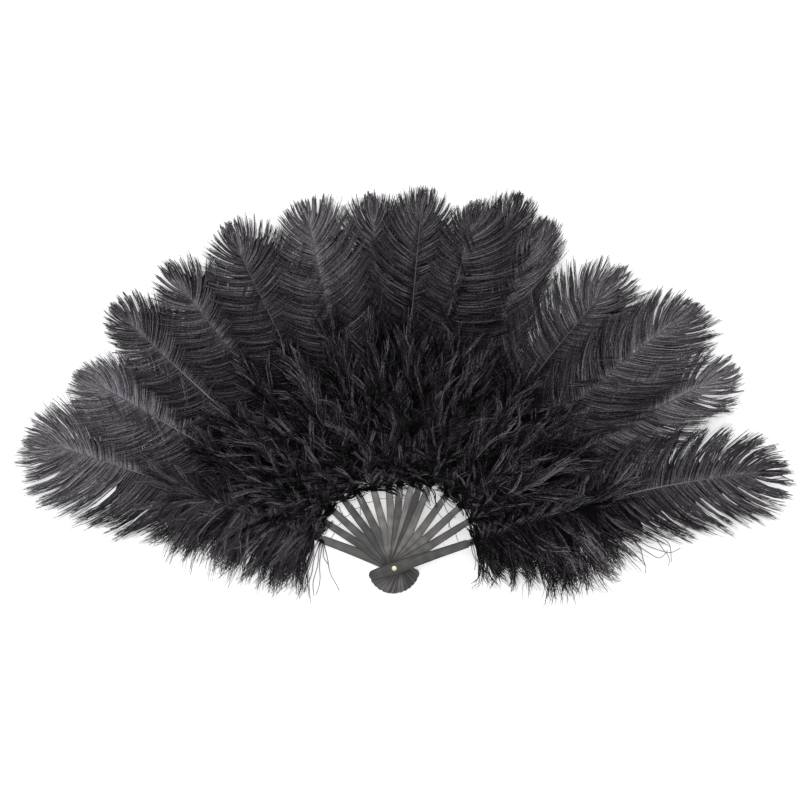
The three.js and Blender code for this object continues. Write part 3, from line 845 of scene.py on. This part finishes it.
def make_plume_shade_felt(i, angle, layer, root_start, root_end):
    """The closed part of a plume's vane: a near-black sheet of painted shade that ends part of the way
    along its barbs.
    """
    ROWS = 90
    # The painted shade reaches further on the right, where the next plume lies over it.
    EXPOSED, COVERED = 0.5, 0.85  # share of a barb on the left, and on the right under the next plume
    OPEN = 0.36  # share of a barb where the plume parts into open bunches
    PARTED = 0.4  # share of the rooted stretch over which it parts
    AT_TIP, WIDENING = 0.6, 1.2  # the sheet's share of that at the tip, and how fast it grows from there
    NOTCHES = [1.0, 0.8, 0.95, 0.75, 0.9]
    bow, longest, tip_barb, lean = PLUMES[i][:4]
    rows = []
    for k in range(ROWS):
        order = k / (ROWS - 1)
        along = 1 - (1 - order) ** PLUME_CROWDING
        barb = (longest + (tip_barb - longest) * along**SHORTENING) * MM * NOTCHES[k % len(NOTCHES)]
        turn = lean * (1 - order**PLUME_CLOSING) * DEGREE
        sides = []
        for side in (-1, 1):
            share = EXPOSED if side < 0 else COVERED
            if i in OPEN_ALL_ROUND or (side < 0 and i in OPEN_ON_THE_LEFT):
                share += (OPEN - share) * min(1, order / PARTED)
            share *= min(1, AT_TIP + WIDENING * (1 - order))
            ahead = barb * share * (2 * BARB_MIDDLE * (1 - share) + share)
            aside = barb * PLUME_BEND * share**2
            x = side * (ahead * math.sin(turn) - aside * math.cos(turn))
            y = root_start + (root_end - root_start) * along
            y += ahead * math.cos(turn) + aside * math.sin(turn)
            out = (y - root_start) / (root_end - root_start)
            sides.append((x + bow * MM * out * out, y))
        rows.append(sides)
    piece = felt(f"plume_shade_felt_{NUMBERS[i]}", rows, angle, layer, SHADE_FELT)
    on_stave(piece, STAVES[i], None)


# How the down of the guards differs: it hangs on their outer sides.
HANGING_DOWN = {
    "Barbs": 440,
    "Strands": 8,
    "Closing": 1.0,
    "Least Lean": 0.65,
    "Barb Width": 3.5 * MM,
    "Wave": 0.32,
    "Waves": 3.0,
    # Painted shade at the roots of the hanging down, a little lighter than in the other tufts.
    "Left Painted Root Shading": 0.3,
}
REAR_DOWN = HANGING_DOWN | {
    "Root End": 225 * MM,
    "Length": 78 * MM,
    "Base Share": 0.92,
    "Least Length": 0.72,
    "Right Spread": 0.4,
    "Base Lean": 105 * DEGREE,
    "Left Splay": 56 * DEGREE,
    "Barb Stray": 20 * DEGREE,
    "Material": PLUME_BARBS,
}
FRONT_DOWN = HANGING_DOWN | {
    "Root End": 210 * MM,
    "Length": 94 * MM,
    "Base Share": 0.58,
    "Tip Share": 0.95,
    "Widest": 0.7,
    "Least Length": 0.7,
    "Left Spread": 0.4,
    "Base Lean": 88 * DEGREE,
    "Right Splay": 70 * DEGREE,
    "Barb Stray": 16 * DEGREE,
    "Right Painted Root Shading": 0.38,
}
GUARD_DOWN = {0: REAR_DOWN, LAST: FRONT_DOWN}
HIGH_TUFTS = range(3, 8)  # their down reaches further up the plumes
TUFT_STARTS = [84, 84, 84, 83, 81, 78, 78, 81, 84, 88, 89, 88, 88, 87, 84]  # mm from the rivet


def make_tuft(i):
    """The tuft of curled down in front of stave i's rib."""
    LONGEST = 68 * MM
    STEEPEST = 14 * DEGREE
    number = NUMBERS[i]
    node = f"tuft_{number}"
    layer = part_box(node)[0].z
    lift = min(STEEPEST, 0.5 * math.asin((HIGHEST - layer) / LONGEST))
    down = {
        "Barbs": 220,
        "Strands": 7,
        "Steps": 6,
        "Seed": 500 + 10 * i,
        "Root Start": TUFT_STARTS[i] * MM,
        "Root End": (212 if i in HIGH_TUFTS else 200) * MM,
        "Crowding": 0.85,
        "Crossing": 3 * MM,
        "Length": 1.1 * LONGEST,
        "Base Share": 0.38,
        "Tip Share": 0.8,
        "Widest": 0.4,
        "Least Length": 0.45,
        "Left Spread": 1.0,
        "Right Spread": 1.0,
        "Base Lean": 118 * DEGREE,
        "Tip Lean": 16 * DEGREE,
        "Closing": 0.4,
        "Left Splay": 0.0,
        "Right Splay": 0.0,
        "Least Lean": 0.1,
        "Flow": 16 * DEGREE,
        "Flow Turns": 4.0,
        "Barb Stray": 14 * DEGREE,
        "Strand Stray": 3 * DEGREE,
        "Barb Width": 6 * MM,
        "Barb Depth": 4 * MM,
        "Root Gather": 0.2,
        "Tip Gather": 0.3,
        "Groups": 9.0,
        "Parting": 0.2,
        "Parting Delay": 4.0,
        "Left Lift": lift,
        "Right Lift": lift,
        "Lift Stray": 0.8 * lift,
        "Roll Stray": 2.6,
        "Bend": 0.3,
        "Wave": 0.36,
        "Waves": 2.2,
        "Wave Sharing": 0.0,
        "Bow": 0.0,
        "Thickness": 0.45 * MM,
        "Contrast": 0.7,
        "Strand Contrast": 0.6,
        "Paleness": 0.0,
        "Tip Paling": 0.0,
        # Painted shade: dark roots deep in the down.
        "Left Painted Root Shading": 0.25,
        "Right Painted Root Shading": 0.25,
        "Angle": stave_angle(STAVES[i]),
        "Layer": layer,
        "Material": TUFT_BARBS,
    }
    piece = grown(f"tuft_down_{number}", down | GUARD_DOWN.get(i, {}))
    on_stave(piece, STAVES[i], node)
    make_tuft_shade_felt(i, layer)


def make_tuft_shade_felt(i, layer):
    """The matted roots of a tuft, as a near-black sheet of painted shade deep in the down."""
    OUT = [92, 98, 106, 120, 160, 200, 215]  # mm from the rivet's axis
    ASIDE = [5, 12, 17, 22, 26, 26, 14]  # mm from the stave's middle
    HANGING = [10, 24, 32, 38, 36, 22, 8]  # the same, under the hanging down of the guards
    rows = []
    for out, aside, hanging in zip(OUT, ASIDE, HANGING):
        left = hanging if i == 0 else aside
        right = hanging if i == LAST else aside
        rows.append(((-left * MM, out * MM), (right * MM, out * MM)))
    piece = felt(f"tuft_shade_felt_{NUMBERS[i]}", rows, stave_angle(STAVES[i]), layer, SHADE_FELT)
    on_stave(piece, STAVES[i], None)


# Barbs that stray out of the down: the guard or stave that holds each, and where it starts, bends and
# ends in the open fan, in millimetres.
STRAY_BARBS = [
    ("rear_guard", (-72, 27), (-75, 2), (-77, -29)),
    ("rear_guard", (-74, 27), (-83, -1), (-89, -27)),
    ("rear_guard", (-75, 28), (-88, 4), (-95, -18)),
    ("rear_guard", (-73, 28), (-79, -2), (-82, -30)),
    ("rear_guard", (-71, 26), (-68, 4), (-57, -25)),
    ("rear_guard", (-72, 26), (-72, 12), (-66, -4)),
    ("front_guard", (77, 27), (82, 8), (90, -11)),
    ("front_guard", (76, 26), (79, 12), (82, -2)),
    ("front_guard", (250, 36), (278, 31), (277, 6)),
    ("front_guard", (240, 32), (262, 10), (285, 19)),
    ("front_guard", (238, 28), (262, 2), (272, 16)),
    ("front_guard", (236, 30), (252, 14), (249, -6)),
    ("front_guard", (252, 34), (272, 22), (274, 2)),
    ("stave_12", (46, 72), (54, 58), (56, 40)),
    ("stave_12", (48, 70), (60, 60), (62, 50)),
    ("stave_05", (-40, 76), (-30, 66), (-34, 52)),
    ("stave_04", (-52, 70), (-40, 64), (-46, 54)),
    ("stave_03", (-62, 62), (-50, 60), (-54, 50)),
    ("stave_08", (2, 80), (12, 70), (4, 62)),
]


def make_stray_barbs():
    """Single barbs beside the handle and under the front guard."""
    STATIONS = 24
    ROOT, TIP = 0.7 * MM, 0.45 * MM
    START, SINK = 1.5 * MM, 6 * MM  # height above the stave, and how far the tip sinks from there
    CURL, CURLS = 1.6, 1.5  # millimetres to each side at the tip, and how many turns
    TONE = 1.0
    for n, (stave, start, bend, end) in enumerate(STRAY_BARBS, 1):
        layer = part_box(stave)[1].z
        points, radii = [], []
        for k in range(STATIONS):
            t = k / (STATIONS - 1)
            parts = zip(start, bend, end)
            x, y = ((1 - t) ** 2 * a + 2 * t * (1 - t) * b + t * t * c for a, b, c in parts)
            z = max(TABLE_CLEARANCE, layer + START - SINK * t * t)
            curl = CURL * t * math.sin(2 * math.pi * CURLS * t + n)
            x += curl * (start[1] - end[1]) / math.dist(start, end)
            y += curl * (end[0] - start[0]) / math.dist(start, end)
            points.append(Vector((x * MM, y * MM, z)))
            radii.append(ROOT + (TIP - ROOT) * t)
        stray = tube(f"stray_barb_{n:02d}", points, radii, 5, PLUME_BARBS)
        tone = stray.data.attributes.new("tone", "FLOAT", "POINT")
        tone.data.foreach_set("value", [TONE] * len(stray.data.vertices))
        on_stave(stray, stave, None)


for index in range(STAVE_COUNT):
    make_plume(index)
    make_tuft(index)
make_stray_barbs()

# The staves and the metal keep their solids.

GUARD_STOPS = [(0.1, "222221"), (0.35, "41413f"), (0.5, "4e4e4c"), (0.65, "5a5a58")]
STAVE_STOPS = [(0.1, "232222"), (0.35, "4a4847"), (0.5, "64605e"), (0.65, "7a7573")]

# How much paler or darker each stave is: partly how its dye took, and partly painted shade, most on
# stave_10 under stave_11.
STAVE_STAIN_AND_SHADE = [
    0, -0.23, -0.18, -0.29, -0.19, 0, 0.05, -0.23,
    0.07, -0.38, -0.08, -0.11, -0.11, -0.19, -0.22,
]

for index, stave in enumerate(STAVES):
    stops = GUARD_STOPS if index in (0, LAST) else STAVE_STOPS
    name = f"stained_bamboo_{NUMBERS[index]}"
    finish = stained_bamboo(name, stave_angle(stave), stops, STAVE_STAIN_AND_SHADE[index])
    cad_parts[stave].material_slots[0].material = finish

BRASS = polished_brass()
for metal in ("rivet", "rear_washer"):
    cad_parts[metal].material_slots[0].material = BRASS


def make_thread_spans():
    """The thread that ties each stave to the next, one slack span for each gap. It lies in the back of a
    stave's right half, rises beyond its edge and ends behind the next one."""
    RADIUS = 0.3 * MM
    STATIONS = 13
    SAG = 1.2 * MM
    SEAT, DROP = 0.1 * MM, 0.6 * MM  # into the one stave's back, and below the back of the next
    HALF_STAVE = 3.7 * MM
    THREAD = sewing_thread()
    from_rivet = reach("link_cord") - RADIUS
    for i in range(LAST):
        angles = [stave_angle(stave) for stave in STAVES[i : i + 2]]
        low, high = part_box(STAVES[i])[0].z + SEAT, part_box(STAVES[i + 1])[0].z - DROP
        edge = HALF_STAVE / from_rivet / (angles[1] - angles[0])
        points = []
        for k in range(STATIONS):
            share = k / (STATIONS - 1)
            angle = angles[0] + (angles[1] - angles[0]) * share
            free = max(0, (share - edge) / (1 - edge))
            out = from_rivet - SAG * math.sin(math.pi * free)
            place = (out * math.sin(angle), out * math.cos(angle), low + (high - low) * free)
            points.append(Vector(place))
        span = tube(f"thread_span_{NUMBERS[i]}", points, [RADIUS] * STATIONS, 6, THREAD)
        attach(span, STAVES[i])
        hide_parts("link_cord")
        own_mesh(span)


make_thread_spans()

# Table and light.


def make_table():
    """A white table top under the fan."""
    HALF = 3.0
    GLOW = 0.35  # brings the table to white where the camera sees it
    mesh = bpy.data.meshes.new("table")
    corners = [(-HALF, -HALF, 0), (HALF, -HALF, 0), (HALF, HALF, 0), (-HALF, HALF, 0)]
    mesh.from_pydata(corners, [], [(0, 1, 2, 3)])
    table = show("table", mesh)
    material, tree, shader = new_material("white_table")
    shader.inputs["Base Color"].default_value = linear("fbfbfb")
    shader.inputs["Emission Color"].default_value = linear("ffffff")
    rays = add(tree, "ShaderNodeLightPath").outputs
    seen = {0: rays["Is Camera Ray"], 1: rays["Is Glossy Ray"]}
    seen = add(tree, "ShaderNodeMath", seen, operation="ADD")
    seen = add(tree, "ShaderNodeMath", {0: seen, 1: rays["Is Transmission Ray"]}, operation="ADD")
    shine = add(tree, "ShaderNodeMath", {0: seen, 1: GLOW}, operation="MULTIPLY")
    tree.links.new(shine.outputs[0], shader.inputs["Emission Strength"])
    shader.inputs["Roughness"].default_value = 0.7
    shader.inputs["Specular IOR Level"].default_value = 0.0
    mesh.materials.append(material)


def make_light(name, place, target, size, power):
    """A square softbox at a place, facing a target."""
    data = bpy.data.lights.new(name, "AREA")
    data.size = size
    data.energy = power
    lamp = bpy.data.objects.new(name, data)
    lamp.location = place
    lamp.rotation_euler = (Vector(target) - Vector(place)).to_track_quat("-Z", "Y").to_euler()
    bpy.context.scene.collection.objects.link(lamp)


def make_world(strength):
    """Even white light from all round."""
    world = bpy.data.worlds.new("studio")
    world.use_nodes = True
    world.node_tree.nodes.clear()
    light = {"Color": linear("ffffff"), "Strength": strength}
    light = add(world.node_tree, "ShaderNodeBackground", light)
    add(world.node_tree, "ShaderNodeOutputWorld", {"Surface": light})
    bpy.context.scene.world = world


make_table()
make_light("key_softbox", place=(-0.3, 0.8, 2.3), target=(0, 0.18, 0), size=2.2, power=24)
make_world(strength=0.85)
bpy.context.scene.view_settings.view_transform = "Standard"
